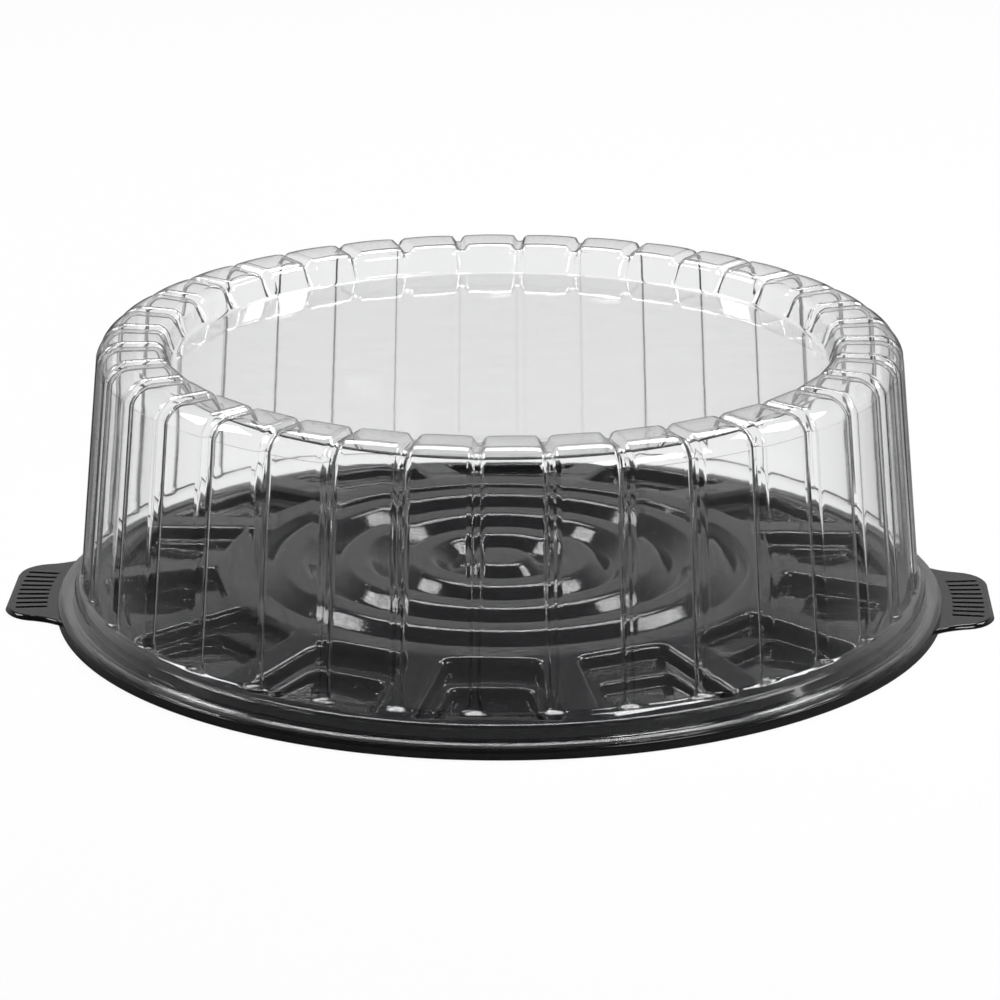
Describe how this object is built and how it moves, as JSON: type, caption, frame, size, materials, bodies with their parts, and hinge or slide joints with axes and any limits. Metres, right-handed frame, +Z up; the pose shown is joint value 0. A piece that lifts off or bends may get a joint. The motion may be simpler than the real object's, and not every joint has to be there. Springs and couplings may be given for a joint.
{
  "type": "cake container",
  "caption": "Round black cake tray with stepped pockets and finger tabs, under a clear fluted dome lid that lifts straight off.",
  "frame": {"origin": "centre of the tray's resting plane, on the axis of the tray and the dome", "axes": "+Z up along the axis, -Y towards the front, +X towards one of the two finger tabs"},
  "size_m": [0.345, 0.31, 0.0975],
  "materials": {
    "tray_black": "gloss",
    "lid_clear": "clear gloss"
  },
  "bodies": {
    "tray": {"base_tray": "tray_black"},
    "lid": {"dome_lid": "lid_clear"}
  },
  "joints": [
    {"name": "lid_lift", "type": "slide", "parent": "tray", "child": "lid", "axis": [0, 0, 1], "range_m": [0, 0.12]}
  ]
}
